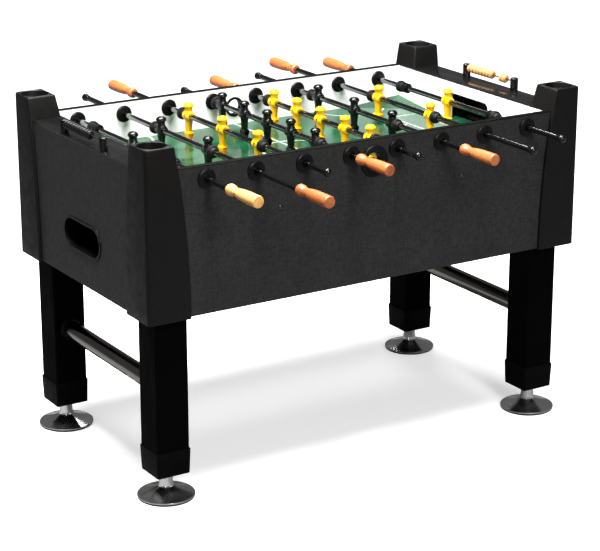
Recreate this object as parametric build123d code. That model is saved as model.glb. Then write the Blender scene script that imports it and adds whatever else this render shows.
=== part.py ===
"""Foosball table: a laminated cabinet on four legs, crossed by eight player rods.

Millimetres. +X runs along the playing field, +Y across it, +Z up.
The origin is on the floor, under the middle of the field.
"""

import os

from build123d import *

# ---- cabinet -----------------------------------------------------------------
RAIL_TOP = 907.0  # height of the side rails and end ledges
CABINET_BOTTOM = 514.0  # lower edge of the four outer panels
PANEL_THICK = 19.0
SIDE_OUTER = 376.0  # outer face of a side panel, from the middle
END_OUTER = 676.0  # outer face of an end panel
SIDE_INNER = SIDE_OUTER - PANEL_THICK
END_INNER = END_OUTER - PANEL_THICK
TRIM_THICK = 2.0  # edge strip on the side rails
LEDGE_THICK = 4.0
LEDGE_INNER = 585.5  # playing face of the white end walls
END_WALL_THICK = 12.0
FIELD_TOP = 796.0
FIELD_THICK = 12.0
FIELD_HALF_LENGTH = 612.0  # the board runs on through the goals
BATTEN_HEIGHT = 39.0
BATTEN_THICK = 30.0
BATTEN_HALF_LENGTH = 540.0
BOTTOM_THICK = 6.0
SCREW_X = 290.0
SCREW_Z = 765.0

# ---- raised corners of the field -----------------------------------------------
RAMP_ALONG = 190.0
RAMP_ACROSS = 150.0
RAMP_RISE = 16.5

# ---- corner posts ----------------------------------------------------------------
POST_OUTER_X = 685.0
POST_OUTER_Y = 386.0
POST_FOOT_Z = 511.0
POST_TOP_Z = 969.0
POST_FOOT_WIDTH = (125.5, 126.5)  # along X, along Y
POST_TOP_WIDTH = (84.0, 90.0)
POST_WALL = 4.0
POST_CORNER_RADIUS = 14.0
CUP_RADIUS = 37.0
CUP_WALL = 3.0
CUP_FLOOR_Z = 913.0

# ---- goals and ball returns ------------------------------------------------------
GOAL_HALF_WIDTH = 95.0
GOAL_TOP = 872.0
GOAL_CORNER = 20.0
SHELL = 3.0  # wall of the moulded goal boxes and returns
RETURN_WIDTH = 212.0
RETURN_HEIGHT = 84.0
RETURN_Z = 647.0
RETURN_BACK_X = 600.0
RETURN_RIM = 3.0  # overlap and thickness of the rim on the panel
PORT_Z = 847.0
PORT_BORE = 22.0
PORT_TUBE = 29.5
PORT_FLANGE = 43.0
PORT_MOUTH = 38.0

# ---- rods --------------------------------------------------------------------------
ROD_COUNT = 8
ROD_PITCH = 145.0
ROD_Z = 872.0
SHAFT_RADIUS = 7.94
SHAFT_WALL = 2.0
BUSHING_BORE = 8.0
BUSHING_SLEEVE = 12.5
BUSHING_FLANGE = 26.0
BUSHING_FLANGE_THICK = 7.0
NUT_RADIUS = 24.0
NUT_THICK = 7.0
HANDLE_LENGTH = 140.0
HANDLE_RADIUS = 16.0
HANDLE_BORE = 110.0
HANDLE_CLEAR = 32.0  # gap left between rail and handle when the rod is pushed home
CAP_LENGTH = 30.0
CAP_RADIUS = 11.5  # ball at the tip
CAP_NECK = 9.1
CAP_WALL = 6.0
CAP_CLEAR = 54.0  # from the rail to the cap's tip when the rod is pulled home
STOP_GAP = 0.5

# players on each rod, their spacing, the side of the handle and the rod's place across
ROD_PLAYERS = (1, 2, 3, 5, 5, 3, 2, 1)
PLAYER_PITCH = {1: 0.0, 2: 261.0, 3: 192.0, 5: 125.3}
HANDLE_SIDE = (-1, -1, 1, -1, 1, -1, 1, 1)
ROD_SHIFT = (21.0, 2.0, 48.0, 50.0, 1.0, 49.0, 9.0, -5.0)

# ---- players and bumpers -----------------------------------------------------------
HUB_HALF = 16.0
HUB_RADIUS = 13.6
CHEST = (24.5, 31.0)  # along X, along Y
HIPS = (21.0, 25.0)
SHINS = (14.6, 20.0)
TOE = (17.2, 27.0)
SOLE = (7.0, 23.0)
HEAD_RADIUS = 14.8
FACE_RADIUS = 11.4
HEAD_LOW = 25.0
HEAD_TOP = 38.5
FOOT_TOP = -50.0
FOOT_BOTTOM = -69.0
BUMPER_LENGTH = 24.0
BUMPER_RADIUS = 17.5
BUMPER_NECK = 13.0
BUMPER_GAP = 0.4
COLLAR_PLACE = 210.0  # fixed stop collars on the goalkeeper's rod
COLLAR_HALF = 10.0

# ---- legs ----------------------------------------------------------------------------
LEG_X = 602.0
LEG_Y = 302.0
LEG_SIDE = 95.0
LEG_WALL = 15.0
LEG_CORNER = 5.0
LEG_TOP = FIELD_TOP - FIELD_THICK
BOOT_BOTTOM = 72.0
BOOT_TOP = 142.0
BOOT_SIDE_BOTTOM = 96.0
BOOT_SIDE_TOP = 101.0
BOOT_FLOOR = 10.0
FOOT_RADIUS = 77.5
FOOT_NECK = 18.0
STUD_RADIUS = 5.0
STUD_PLAY = 0.3
STRETCHER_RADIUS = 25.0
STRETCHER_WALL = 1.5
STRETCHER_Z = 302.0
STRETCHER_COLLAR = 31.0
STRETCHER_COLLAR_THICK = 8.0

# ---- scorers -------------------------------------------------------------------------
SCORE_X = 663.0
SCORE_HALF_SPAN = 115.0
SCORE_POST_RADIUS = 11.5
SCORE_POST_HEIGHT = 38.0
SCORE_ROD_RADIUS = 2.0
SCORE_ROD_Z = RAIL_TOP + 27.0
BEAD_RADIUS = 12.5
BEAD_END = 7.5
BEAD_THICK = 15.0
BEAD_BORE = 2.3
BEAD_GAP = 0.2


def block(x0, x1, y0, y1, z0, z1):
    """Box between two corners."""
    return Pos((x0 + x1) / 2, (y0 + y1) / 2, (z0 + z1) / 2) * Box(x1 - x0, y1 - y0, z1 - z0)


def bar_y(radius, x, y0, y1, z):
    """Round bar along Y."""
    return Pos(x, (y0 + y1) / 2, z) * Rot(90, 0, 0) * Cylinder(radius, abs(y1 - y0))


def bar_z(radius, x, y, z0, z1):
    """Round bar along Z."""
    return Pos(x, y, (z0 + z1) / 2) * Cylinder(radius, z1 - z0)


def revolved_y(points, x, y, z, side):
    """Solid turned about a line along Y from (distance along it, radius) points."""
    outline = make_face(Polyline([(0, 0)] + points + [(points[-1][0], 0)], close=True))
    turned = revolve(outline, Axis.X)
    return Pos(x, y, z) * Rot(0, 0, 90 * side) * turned


def slot_x(width, height, x0, x1, z):
    """Stadium-shaped bar along X, centred across the table."""
    outline = Plane.YZ.offset(x0) * Pos(0, z) * SlotOverall(width, height)
    return extrude(outline, x1 - x0)


def rounded_layer(size, radius, z):
    """Rounded rectangle at a height."""
    return (Plane.XY.offset(z) * RectangleRounded(*size, radius)).face()


def left_and_right(shape):
    return [shape, mirror(shape, Plane.YZ)]


def near_and_far(shape):
    return [shape, mirror(shape, Plane.XZ)]


def four_corners(shape):
    return [copy for half in left_and_right(shape) for copy in near_and_far(half)]


def save(name, *shapes):
    """Writes one node; a group keeps its pieces as separate solids."""
    solids = [solid for shape in shapes for solid in shape.solids()]
    whole = solids[0] if len(solids) == 1 else Compound(solids)
    export_step(whole, os.path.join("parts", name + ".step"))


def rod_x(index):
    return (index - (ROD_COUNT - 1) / 2) * ROD_PITCH


# ---- cabinet pieces --------------------------------------------------------------------


def side_panel():
    """Far side panel, with the rod holes, the serve port's hole and two screw holes."""
    panel = block(-END_INNER, END_INNER, SIDE_INNER, SIDE_OUTER, CABINET_BOTTOM, RAIL_TOP - TRIM_THICK)
    for index in range(ROD_COUNT):
        panel -= bar_y(BUSHING_SLEEVE, rod_x(index), SIDE_INNER - 1, SIDE_OUTER + 1, ROD_Z)
    panel -= bar_y(PORT_TUBE, 0, SIDE_INNER - 1, SIDE_OUTER + 1, PORT_Z)
    for x in (-SCREW_X, SCREW_X):
        panel -= bar_y(3.0, x, SIDE_INNER - 1, SIDE_OUTER + 1, SCREW_Z)
    return panel


def end_panel():
    """Right end panel, with the slot-shaped ball return opening."""
    panel = block(END_INNER, END_OUTER, -SIDE_OUTER, SIDE_OUTER, CABINET_BOTTOM, RAIL_TOP - LEDGE_THICK)
    return panel - slot_x(RETURN_WIDTH, RETURN_HEIGHT, END_INNER - 1, END_OUTER + 1, RETURN_Z)


def end_wall():
    """Right end wall of the playing well, open at the goal."""
    outer = LEDGE_INNER + END_WALL_THICK
    wall = block(LEDGE_INNER, outer, -SIDE_INNER, SIDE_INNER, FIELD_TOP, RAIL_TOP - LEDGE_THICK)
    goal = Plane.YZ.offset(LEDGE_INNER - 1) * Pos(0, (GOAL_TOP + FIELD_TOP) / 2 - GOAL_CORNER)
    height = GOAL_TOP - FIELD_TOP + 2 * GOAL_CORNER
    mouth = extrude(goal * RectangleRounded(2 * GOAL_HALF_WIDTH, height, GOAL_CORNER), END_WALL_THICK + 2)
    return wall - mouth


def end_ledge():
    return block(LEDGE_INNER, END_OUTER, -SIDE_INNER, SIDE_INNER, RAIL_TOP - LEDGE_THICK, RAIL_TOP)


def edge_trim():
    return block(-END_INNER, END_INNER, SIDE_INNER, SIDE_OUTER, RAIL_TOP - TRIM_THICK, RAIL_TOP)


def playfield():
    return block(
        -FIELD_HALF_LENGTH, FIELD_HALF_LENGTH, -SIDE_INNER, SIDE_INNER, FIELD_TOP - FIELD_THICK, FIELD_TOP
    )


def corner_ramp():
    """Low three-sided wedge that rolls the ball out of the corner."""
    corner = (LEDGE_INNER, SIDE_INNER, FIELD_TOP)
    along = (LEDGE_INNER - RAMP_ALONG, SIDE_INNER, FIELD_TOP)
    across = (LEDGE_INNER, SIDE_INNER - RAMP_ACROSS, FIELD_TOP)
    peak = (LEDGE_INNER, SIDE_INNER, FIELD_TOP + RAMP_RISE)
    sides = [(corner, along, across), (corner, along, peak), (corner, across, peak), (along, across, peak)]
    faces = [Face(Wire.make_polygon([Vector(*point) for point in side], close=True)) for side in sides]
    return Solid(Shell(faces))


def batten():
    """Strip screwed to the side panel; it carries the field board."""
    half = BATTEN_HALF_LENGTH
    high = FIELD_TOP - FIELD_THICK
    strip = block(-half, half, SIDE_INNER - BATTEN_THICK, SIDE_INNER, high - BATTEN_HEIGHT, high)
    for x in (-SCREW_X, SCREW_X):
        strip -= bar_y(2.9, x, SIDE_INNER - BATTEN_THICK + 8, SIDE_INNER + 1, SCREW_Z)
    return strip


def panel_screw(x):
    shank = bar_y(2.9, x, SIDE_INNER - BATTEN_THICK + 8, SIDE_OUTER, SCREW_Z)
    head = bar_y(5.5, x, SIDE_OUTER, SIDE_OUTER + 2.5, SCREW_Z)
    return shank + chamfer(head.edges().group_by(Axis.Y)[-1], 1.0)


def cabinet_bottom():
    board = block(
        -END_INNER, END_INNER, -SIDE_INNER, SIDE_INNER, CABINET_BOTTOM + 2, CABINET_BOTTOM + 2 + BOTTOM_THICK
    )
    half = LEG_SIDE / 2
    hole = block(LEG_X - half, LEG_X + half, LEG_Y - half, LEG_Y + half, CABINET_BOTTOM, CABINET_BOTTOM + 20)
    for leg_hole in four_corners(hole):
        board -= leg_hole
    return board


# ---- corner posts ------------------------------------------------------------------------


def tapered_outline(outer, foot_width, top_width, foot_z, top_z):
    """Upright outline whose inner edge leaves the foot upright and leans out to the top."""
    inner_foot = (outer - foot_width, foot_z)
    inner_top = (outer - top_width, top_z)
    inner_edge = TangentArc(inner_foot, inner_top, tangent=(0, 1))
    others = Polyline(inner_top, (outer, top_z), (outer, foot_z), inner_foot)
    return make_face([inner_edge, *others.edges()])


def post_body(inset):
    """Corner post's mass, drawn in by an inset on every side."""
    foot_z = POST_FOOT_Z + inset
    top_z = POST_TOP_Z - inset
    along = tapered_outline(
        POST_OUTER_X - inset, POST_FOOT_WIDTH[0] - 2 * inset, POST_TOP_WIDTH[0] - 2 * inset, foot_z, top_z
    )
    across = tapered_outline(
        POST_OUTER_Y - inset, POST_FOOT_WIDTH[1] - 2 * inset, POST_TOP_WIDTH[1] - 2 * inset, foot_z, top_z
    )
    seen_from_front = extrude(Plane.XZ * along, POST_OUTER_Y, both=True)
    seen_from_end = extrude(Plane.YZ * across, POST_OUTER_X, both=True)
    body = seen_from_front & seen_from_end
    outer_edge = body.edges().filter_by(Axis.Z).sort_by(Axis.X)[-1]
    return fillet(outer_edge, POST_CORNER_RADIUS - inset)


def corner_post():
    """Moulded shell over the cabinet's corner, with a cup well in its top."""
    cup_x = POST_OUTER_X - POST_TOP_WIDTH[0] / 2
    cup_y = POST_OUTER_Y - POST_TOP_WIDTH[1] / 2
    cup = bar_z(CUP_RADIUS + CUP_WALL, cup_x, cup_y, CUP_FLOOR_Z - CUP_WALL, POST_TOP_Z)
    body = post_body(0)
    post = body - post_body(POST_WALL) + (cup & body)
    post -= block(0, END_OUTER, 0, SIDE_OUTER, 0, RAIL_TOP)
    return post - bar_z(CUP_RADIUS, cup_x, cup_y, CUP_FLOOR_Z, POST_TOP_Z + 1)


# ---- goals, returns, ports ---------------------------------------------------------------


def goal_box():
    """Black box behind the goal mouth; its floor is the end of the field board."""
    start = LEDGE_INNER + END_WALL_THICK
    half = GOAL_HALF_WIDTH
    outer = block(start, END_INNER, -half - SHELL, half + SHELL, FIELD_TOP, GOAL_TOP + SHELL)
    inner = block(start - 1, END_INNER - SHELL, -half, half, FIELD_TOP - 1, GOAL_TOP)
    return outer - inner


def ball_return():
    """Chute under the goal that ends in a slot-shaped mouth on the end panel."""
    half = RETURN_WIDTH / 2
    floor_z = RETURN_Z - RETURN_HEIGHT / 2
    top_z = FIELD_TOP - FIELD_THICK
    chute = block(RETURN_BACK_X, END_INNER, -half, half, floor_z - SHELL, top_z)
    chute -= block(RETURN_BACK_X + SHELL, END_INNER - SHELL, SHELL - half, half - SHELL, floor_z, top_z + 1)
    front = END_OUTER + RETURN_RIM
    sleeve = slot_x(RETURN_WIDTH, RETURN_HEIGHT, END_INNER - SHELL, front, RETURN_Z)
    rim = slot_x(RETURN_WIDTH + 2 * RETURN_RIM, RETURN_HEIGHT + 2 * RETURN_RIM, END_OUTER, front, RETURN_Z)
    bore_width = RETURN_WIDTH - 2 * SHELL
    bore_height = RETURN_HEIGHT - 2 * SHELL
    mouth = slot_x(bore_width, bore_height, END_INNER - 2 * SHELL, front + 1, RETURN_Z)
    return chute + sleeve + rim - mouth


def serve_port():
    """Funnel-mouthed ring through the far side panel."""
    outside = SIDE_OUTER + BUSHING_FLANGE_THICK
    tube = bar_y(PORT_TUBE, 0, SIDE_INNER - 2, outside, PORT_Z)
    flange = bar_y(PORT_FLANGE, 0, SIDE_OUTER, outside, PORT_Z)
    flange = chamfer(flange.edges().group_by(Axis.Y)[-1], 2.0)
    bore = bar_y(PORT_BORE, 0, SIDE_INNER - 3, outside + 1, PORT_Z)
    middle = (SIDE_OUTER + outside) / 2
    funnel = Pos(0, middle, PORT_Z) * Rot(-90, 0, 0) * Cone(PORT_BORE, PORT_MOUTH, BUSHING_FLANGE_THICK)
    return tube + flange - bore - funnel


def rod_bushing(x):
    """Flanged bushing in the far side panel, and the ring nut on its inner end."""
    outside = SIDE_OUTER + BUSHING_FLANGE_THICK
    inside = SIDE_INNER - NUT_THICK
    flange = bar_y(BUSHING_FLANGE, x, SIDE_OUTER, outside, ROD_Z)
    flange = chamfer(flange.edges().group_by(Axis.Y)[-1], 2.5)
    body = flange + bar_y(BUSHING_SLEEVE, x, inside, outside, ROD_Z)
    body -= bar_y(BUSHING_BORE, x, inside - 1, outside + 1, ROD_Z)
    nut = bar_y(NUT_RADIUS, x, inside, SIDE_INNER, ROD_Z)
    nut = chamfer(nut.edges().group_by(Axis.Y)[0], 2.5)
    nut -= bar_y(BUSHING_SLEEVE, x, inside - 1, SIDE_INNER + 1, ROD_Z)
    return [body, nut]


# ---- legs ----------------------------------------------------------------------------------


def square_bar(side, z0, z1):
    half = side / 2
    return block(LEG_X - half, LEG_X + half, LEG_Y - half, LEG_Y + half, z0, z1)


def leg():
    bar = square_bar(LEG_SIDE, BOOT_BOTTOM + BOOT_FLOOR, LEG_TOP)
    bar = fillet(bar.edges().filter_by(Axis.Z), LEG_CORNER)
    return bar - square_bar(LEG_SIDE - 2 * LEG_WALL, BOOT_BOTTOM, LEG_TOP + 1)


def leg_boot():
    """Tapered boot that the leg stands in."""
    low = rounded_layer((BOOT_SIDE_BOTTOM, BOOT_SIDE_BOTTOM), LEG_CORNER, BOOT_BOTTOM)
    high = rounded_layer((BOOT_SIDE_TOP, BOOT_SIDE_TOP), LEG_CORNER, BOOT_TOP)
    boot = Pos(LEG_X, LEG_Y) * loft([low, high])
    pocket = square_bar(LEG_SIDE, BOOT_BOTTOM + BOOT_FLOOR, BOOT_TOP + 1)
    pocket = fillet(pocket.edges().filter_by(Axis.Z), LEG_CORNER)
    stud_hole = bar_z(STUD_RADIUS + STUD_PLAY, LEG_X, LEG_Y, BOOT_BOTTOM - 1, BOOT_BOTTOM + BOOT_FLOOR + 1)
    return boot - pocket - stud_hole


def leveling_foot():
    """Turned trumpet foot with its threaded stud."""
    outline = Polyline(
        (0, 0),
        (FOOT_RADIUS - 2, 0),
        (FOOT_RADIUS, 2),
        (FOOT_RADIUS, 5),
        (FOOT_RADIUS - 3, 8.5),
        (FOOT_NECK + 8, 29),
        (FOOT_NECK + 2, 34),
        (FOOT_NECK, BOOT_BOTTOM - 0.5),
        (STUD_RADIUS, BOOT_BOTTOM - 0.5),
        (STUD_RADIUS, BOOT_TOP - 20),
        (0, BOOT_TOP - 20),
        close=True,
    )
    turned = revolve(Plane.XZ * make_face(outline), Axis.Z)
    return Pos(LEG_X, LEG_Y, 0) * turned


def stretcher():
    """Round tube between the two legs of the right end, with a collar at each leg."""
    face_y = LEG_Y - LEG_SIDE / 2
    tube = bar_y(STRETCHER_RADIUS, LEG_X, -face_y, face_y, STRETCHER_Z)
    tube -= bar_y(STRETCHER_RADIUS - STRETCHER_WALL, LEG_X, -face_y - 1, face_y + 1, STRETCHER_Z)
    collar = bar_y(STRETCHER_COLLAR, LEG_X, face_y - STRETCHER_COLLAR_THICK, face_y, STRETCHER_Z)
    collar -= bar_y(STRETCHER_RADIUS, LEG_X, face_y - STRETCHER_COLLAR_THICK - 1, face_y + 1, STRETCHER_Z)
    return [tube, *near_and_far(collar)]


# ---- scorers ---------------------------------------------------------------------------------


def score_frame(x):
    """Two short posts and the thin rod that the beads slide on."""
    rod = bar_y(SCORE_ROD_RADIUS, x, -SCORE_HALF_SPAN, SCORE_HALF_SPAN, SCORE_ROD_Z)
    post = bar_z(SCORE_POST_RADIUS, x, SCORE_HALF_SPAN, RAIL_TOP, RAIL_TOP + SCORE_POST_HEIGHT)
    post = fillet(post.edges().group_by(Axis.Z)[-1], 3.0) - rod
    return [rod, *near_and_far(post)]


def bead_row(x, first_y, count):
    """Beads side by side, counted from the far one towards the near side."""
    half = BEAD_THICK / 2 - BEAD_GAP / 2
    flat = half - (BEAD_RADIUS - BEAD_END) * 0.7
    left = [(-half, BEAD_BORE), (-half, BEAD_END), (-flat, BEAD_RADIUS)]
    right = [(flat, BEAD_RADIUS), (half, BEAD_END), (half, BEAD_BORE)]
    face = make_face(Polyline(left + right, close=True))
    bead = Rot(0, 0, 90) * revolve(face, Axis.X)
    return [Pos(x, first_y - index * BEAD_THICK, SCORE_ROD_Z) * bead for index in range(count)]


# ---- rods --------------------------------------------------------------------------------------


def stop_face(count):
    """Distance from the rod's middle to the face that carries the bumper."""
    if count == 1:
        return COLLAR_PLACE + COLLAR_HALF
    return PLAYER_PITCH[count] * (count - 1) / 2 + HUB_HALF


def half_travel(count):
    """How far the rod slides each way before a bumper meets the bushing's nut."""
    bumper_end = stop_face(count) + BUMPER_GAP + BUMPER_LENGTH
    return SIDE_INNER - NUT_THICK - STOP_GAP - bumper_end


def player():
    """One moulded player about its rod, domed head up and wedge foot down."""
    hub = Rot(90, 0, 0) * Cylinder(HUB_RADIUS, 2 * HUB_HALF)
    chest = extrude(rounded_layer(CHEST, 8.0, -7), 21)
    face = bar_z(FACE_RADIUS, 0, 0, 8, HEAD_LOW + 3)
    head = bar_z(HEAD_RADIUS, 0, 0, HEAD_LOW, HEAD_TOP)
    head = fillet(head.edges().group_by(Axis.Z)[-1], 8.0)
    head = fillet(head.edges().group_by(Axis.Z)[0], 1.5)
    legs = loft([rounded_layer(HIPS, 6.0, -6), rounded_layer(SHINS, 4.0, FOOT_TOP)])
    ankle = loft([rounded_layer(SHINS, 2.0, FOOT_TOP + 6), rounded_layer(TOE, 2.0, FOOT_TOP)])
    foot = loft([rounded_layer(TOE, 2.0, FOOT_TOP), rounded_layer(SOLE, 2.0, FOOT_BOTTOM)])
    bore = Rot(90, 0, 0) * Cylinder(SHAFT_RADIUS, 4 * HUB_HALF)
    return hub + chest + face + head + legs + ankle + foot - bore


def players(x, shift, count):
    """The row of players on one rod."""
    first = -PLAYER_PITCH[count] * (count - 1) / 2
    man = player()
    return [Pos(x, shift + first + index * PLAYER_PITCH[count], ROD_Z) * man for index in range(count)]


def collar_piece(x, y):
    """Fixed stop collar on a goalkeeper's rod."""
    ring = chamfer(bar_y(15.0, x, y - COLLAR_HALF, y + COLLAR_HALF, ROD_Z).edges(), 2.0)
    return ring - bar_y(SHAFT_RADIUS, x, y - 2 * COLLAR_HALF, y + 2 * COLLAR_HALF, ROD_Z)


def bumper(x, far_end):
    """Two-step rubber bumper, loose on the shaft, with its wide end on the far side."""
    near_end = far_end - BUMPER_LENGTH
    wide = bar_y(BUMPER_RADIUS, x, far_end - BUMPER_LENGTH / 2, far_end, ROD_Z)
    narrow = bar_y(BUMPER_NECK, x, near_end, far_end, ROD_Z)
    bore = bar_y(BUSHING_BORE, x, near_end - 1, far_end + 1, ROD_Z)
    return chamfer(wide.edges(), 1.5) + chamfer(narrow.edges(), 1.0) - bore


def bumpers(x, shift, count):
    reach = stop_face(count) + BUMPER_GAP
    return [bumper(x, shift - reach), bumper(x, shift + reach + BUMPER_LENGTH)]


def handle(x, y, side):
    """Turned wooden grip: collar, waist and long grip with a flat end."""
    start = (0, 12.5)
    collar = (8, 15.4)
    waist = (33, 11.2)
    swell = (62, 14.0)
    full = (112, HANDLE_RADIUS)
    end = (HANDLE_LENGTH - 3, HANDLE_RADIUS)
    tip = (HANDLE_LENGTH, HANDLE_RADIUS - 3)
    curve = Spline(start, collar, waist, swell, full, tangents=[(1, 2), (1, 0)])
    rest = Polyline(full, end, tip, (HANDLE_LENGTH, 0), (0, 0), start)
    turned = revolve(make_face([curve, *rest.edges()]), Axis.X)
    grip = Pos(x, y, ROD_Z) * Rot(0, 0, 90 * side) * turned
    return grip - bar_y(SHAFT_RADIUS, x, y - side, y + HANDLE_BORE * side, ROD_Z)


def shaft(x, shift, count, side):
    """Steel tube, the rubber knob on its bare end, and a goalkeeper's stop collars."""
    travel = half_travel(count)
    tip = shift - side * (SIDE_OUTER + CAP_CLEAR + travel)
    tube_end = tip + side * CAP_WALL
    grip_end = shift + side * (SIDE_OUTER + HANDLE_CLEAR + travel + HANDLE_BORE)
    low, high = sorted((tube_end, grip_end))
    tube = bar_y(SHAFT_RADIUS, x, low, high, ROD_Z)
    tube -= bar_y(SHAFT_RADIUS - SHAFT_WALL, x, low - 1, high + 1, ROD_Z)
    knob = [(0, 5.0), (2, 8.5), (6, CAP_RADIUS), (12, CAP_RADIUS), (18, CAP_NECK), (CAP_LENGTH, CAP_NECK)]
    cap = revolved_y(knob, x, tip, ROD_Z, side)
    cap -= bar_y(SHAFT_RADIUS, x, tube_end, tube_end + side * 2 * CAP_LENGTH, ROD_Z)
    pieces = [tube, cap]
    if count == 1:
        pieces += [collar_piece(x, shift + place) for place in (-COLLAR_PLACE, COLLAR_PLACE)]
    return pieces


def write_rod(index):
    """One rod: shaft, players, handle and bumpers, each its own node."""
    x = rod_x(index)
    count = ROD_PLAYERS[index]
    side = HANDLE_SIDE[index]
    shift = ROD_SHIFT[index]
    travel = half_travel(count)
    name = f"rod{index + 1}"
    save(f"{name}_shaft", *shaft(x, shift, count, side))
    save(f"{name}_players", *players(x, shift, count))
    save(f"{name}_handle", handle(x, shift + side * (SIDE_OUTER + HANDLE_CLEAR + travel), side))
    save(f"{name}_bumpers", *bumpers(x, shift, count))
    print(f"{name} slides {-travel - shift:.1f} to {travel - shift:.1f}")


def write_cabinet():
    save("front_panel", mirror(side_panel(), Plane.XZ))
    save("back_panel", side_panel())
    save("right_end_panel", end_panel())
    save("left_end_panel", mirror(end_panel(), Plane.YZ))
    save("end_walls", *left_and_right(end_wall()))
    save("end_ledges", *left_and_right(end_ledge()))
    save("edge_trims", *near_and_far(edge_trim()))
    save("corner_posts", *four_corners(corner_post()))
    save("playfield", playfield())
    save("corner_ramps", *four_corners(corner_ramp()))
    save("field_battens", *near_and_far(batten()))
    save("cabinet_bottom", cabinet_bottom())
    save("goal_boxes", *left_and_right(goal_box()))
    save("ball_returns", *left_and_right(ball_return()))
    save("serve_ports", *near_and_far(serve_port()))
    screws = [panel_screw(x) for x in (-SCREW_X, SCREW_X)]
    save("panel_screws", *[copy for screw in screws for copy in near_and_far(screw)])
    bushings = [piece for index in range(ROD_COUNT) for piece in rod_bushing(rod_x(index))]
    save("rod_bushings", *[copy for piece in bushings for copy in near_and_far(piece)])


def write_legs():
    save("legs", *four_corners(leg()))
    save("leg_boots", *four_corners(leg_boot()))
    save("leg_stretchers", *[copy for piece in stretcher() for copy in left_and_right(piece)])
    names = ("back_right", "front_right", "back_left", "front_left")
    for name, foot in zip(names, four_corners(leveling_foot())):
        save(f"foot_{name}", foot)


def write_scorers():
    save("score_frames", *score_frame(SCORE_X), *score_frame(-SCORE_X))
    far_bead = SCORE_HALF_SPAN - SCORE_POST_RADIUS - BEAD_THICK / 2
    near_bead = -SCORE_HALF_SPAN + SCORE_POST_RADIUS + BEAD_THICK / 2
    save("score_beads_left", *bead_row(-SCORE_X, far_bead, 10))
    save("score_beads_right_rest", *bead_row(SCORE_X, far_bead, 8))
    save("score_beads_right_won", *bead_row(SCORE_X, near_bead + 24 + BEAD_THICK, 2))


os.makedirs("parts", exist_ok=True)
write_cabinet()
write_legs()
write_scorers()
for rod_index in range(ROD_COUNT):
    write_rod(rod_index)
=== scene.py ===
import math

import bmesh
import bpy
from mathutils import Matrix, Vector


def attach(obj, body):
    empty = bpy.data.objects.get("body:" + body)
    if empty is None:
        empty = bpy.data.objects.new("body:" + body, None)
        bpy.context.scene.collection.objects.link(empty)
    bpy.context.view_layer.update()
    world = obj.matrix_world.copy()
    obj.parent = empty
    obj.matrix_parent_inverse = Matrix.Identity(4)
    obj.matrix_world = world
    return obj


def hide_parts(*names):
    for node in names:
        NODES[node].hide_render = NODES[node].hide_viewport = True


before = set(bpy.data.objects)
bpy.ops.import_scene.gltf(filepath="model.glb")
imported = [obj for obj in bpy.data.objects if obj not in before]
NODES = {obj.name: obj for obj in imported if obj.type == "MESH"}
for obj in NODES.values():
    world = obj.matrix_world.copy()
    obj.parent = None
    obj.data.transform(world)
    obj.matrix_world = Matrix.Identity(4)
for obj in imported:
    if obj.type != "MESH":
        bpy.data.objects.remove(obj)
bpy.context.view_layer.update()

# Sizes and places are in millimetres, and MM turns them into metres.
MM = 0.001

# cabinet: X along the table, Y across it, Z up
SIDE_OUTER = 376.0          # long side panels
SIDE_INNER = 357.0
END_OUTER = 676.0           # end panels
END_INNER = 657.0
WELL_END = 585.5            # white end walls of the playing well
RAIL_TOP = 907.0
POST_X, POST_Y = 685.0, 386.0
POST_FOOT, POST_HEAD = 511.0, 969.0
POST_WIDTHS_X = (125.5, 84.0)       # at the foot, at the head
POST_WIDTHS_Y = (126.5, 90.0)
CUP_PLACE = (643.0, 341.0, 913.0)   # floor of the cup well in the back right post
RETURN_HALF, RETURN_RADIUS, RETURN_Z = 106.0, 42.0, 647.0
PORT_Z = 847.0
SCREW_X, SCREW_Z = 290.0, 765.0
CORNERS = [(sx, sy, f"{ny}_{nx}") for sx, nx in ((-1, "left"), (1, "right"))
           for sy, ny in ((-1, "front"), (1, "back"))]

# legs
LEG_X, LEG_Y = 602.0, 302.0
BOOT_LOW, BOOT_HIGH = 72.0, 142.0
STRETCHER_Z = 302.0
STRETCHER_HALF, STRETCHER_RADIUS = 254.5, 25.0

# scorers
SCORER_X, SCORER_Z = 663.0, 934.0
SCORE_POST_Y = 115.0
BEAD_PITCH = 15.0
FIRST_BEAD, FIRST_WON_BEAD = 96.0, -57.0

# rods, from the left end to the right end
ROD_Z = 872.0
ROD_RADIUS = 7.94
ROD_XS = [(index - 3.5) * 145.0 for index in range(8)]
ROD_PLAYERS = (1, 2, 3, 5, 5, 3, 2, 1)
ROD_SHIFT = (21.0, 2.0, 48.0, 50.0, 1.0, 49.0, 9.0, -5.0)   # along Y, as the rods stand
HANDLE_SIDE = (-1, -1, 1, -1, 1, -1, 1, 1)
BLACK_RODS = (0, 1, 3, 5)
PLAYER_PITCH = {1: 0.0, 2: 261.0, 3: 192.0, 5: 125.3}
HALF_TRAVEL = {1: 105.1, 2: 178.6, 3: 117.1, 5: 58.5}
HUB_HALF = 16.0             # half a player's width where it holds the rod
COLLAR_Y, COLLAR_HALF = 210.0, 10.0
BUMPER_GAP, BUMPER_LENGTH = 0.4, 24.0
CAP_CLEAR, GRIP_CLEAR = 54.0, 32.0  # left outside the panel when a rod is pushed right in
GRIP_SCREW = 45.0

# printed pitch, in metres, as the material's object coordinates are
FIELD_END = WELL_END * MM
LINE_HALF = 0.003
CIRCLE = 0.105
PITCH_BOXES = ((0.150, 0.180), (0.065, 0.120))      # reach from the end, half width
SPOT = 0.100
CORNER_ARC = (0.395, 0.357, 0.11)                   # centre X, centre Y, radius

# camera, in metres and degrees
CAMERA_PLACE = (-2.9237, -4.6908, 2.2194)
CAMERA_PITCH, CAMERA_YAW = 17.98, 31.97
CAMERA_LENS = 122.2


# ---- materials -----------------------------------------------------------------------


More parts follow.
